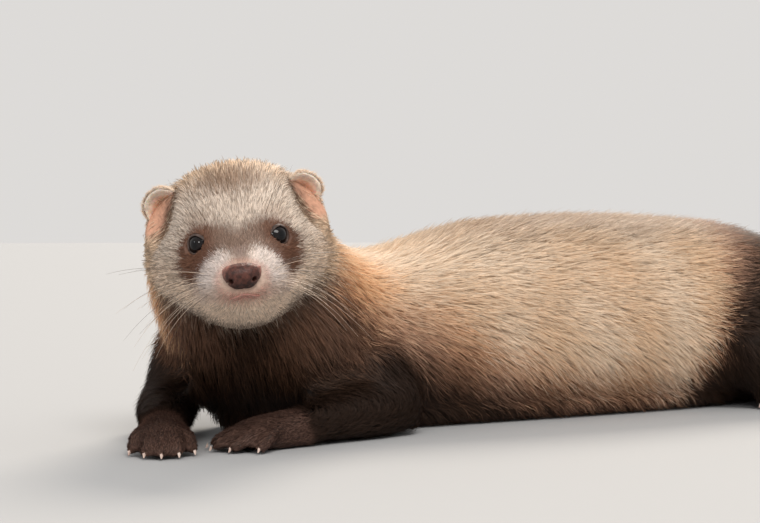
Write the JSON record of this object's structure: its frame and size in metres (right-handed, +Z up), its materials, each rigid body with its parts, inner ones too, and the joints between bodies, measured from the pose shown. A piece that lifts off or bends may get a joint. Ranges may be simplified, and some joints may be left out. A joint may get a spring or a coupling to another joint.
{
  "type": "ferret, life-size still model",
  "caption": "Sable ferret lying on its chest with forelegs stretched out and its head raised and turned to its left.",
  "frame": {"origin": "centre of the bounding box at floor level, under the belly", "axes": "+X towards the tip of the tail, +Y to the animal's right side, +Z up from the floor"},
  "size_m": [0.5048, 0.148, 0.0954],
  "materials": {
    "face_coat": "short cream fur with a brown mask",
    "coat": "soft cream underfur with brown guard hairs",
    "dark_coat": "glossy near-black brown fur",
    "foot_coat": "short reddish-brown fur",
    "ear_skin": "thin pink skin with cream fur on the rim",
    "nose_leather": "moist bare skin, dark reddish brown",
    "eye_black": "wet and clear over a near-black iris",
    "claw_horn": "translucent pinkish horn"
  },
  "bodies": {
    "root": {"head": "face_coat", "belly": "coat", "rump": "coat", "neck": "dark_coat", "chest": "dark_coat", "tail": "dark_coat", "foreleg_left": "dark_coat", "foreleg_right": "dark_coat", "hindleg_left": "dark_coat", "hindleg_right": "dark_coat", "forepaw_left": "foot_coat", "forepaw_right": "foot_coat", "hindpaw_left": "foot_coat", "hindpaw_right": "foot_coat", "ear_left": "ear_skin", "ear_right": "ear_skin", "nose": "nose_leather", "eye_left": "eye_black", "eye_right": "eye_black", "forepaw_left_claw_1": "claw_horn", "forepaw_left_claw_2": "claw_horn", "forepaw_left_claw_3": "claw_horn", "forepaw_left_claw_4": "claw_horn", "forepaw_left_claw_5": "claw_horn", "forepaw_right_claw_1": "claw_horn", "forepaw_right_claw_2": "claw_horn", "forepaw_right_claw_3": "claw_horn", "forepaw_right_claw_4": "claw_horn", "forepaw_right_claw_5": "claw_horn", "hindpaw_left_claw_1": "claw_horn", "hindpaw_left_claw_2": "claw_horn", "hindpaw_left_claw_3": "claw_horn", "hindpaw_left_claw_4": "claw_horn", "hindpaw_left_claw_5": "claw_horn", "hindpaw_right_claw_1": "claw_horn", "hindpaw_right_claw_2": "claw_horn", "hindpaw_right_claw_3": "claw_horn", "hindpaw_right_claw_4": "claw_horn", "hindpaw_right_claw_5": "claw_horn"}
  },
  "joints": []
}
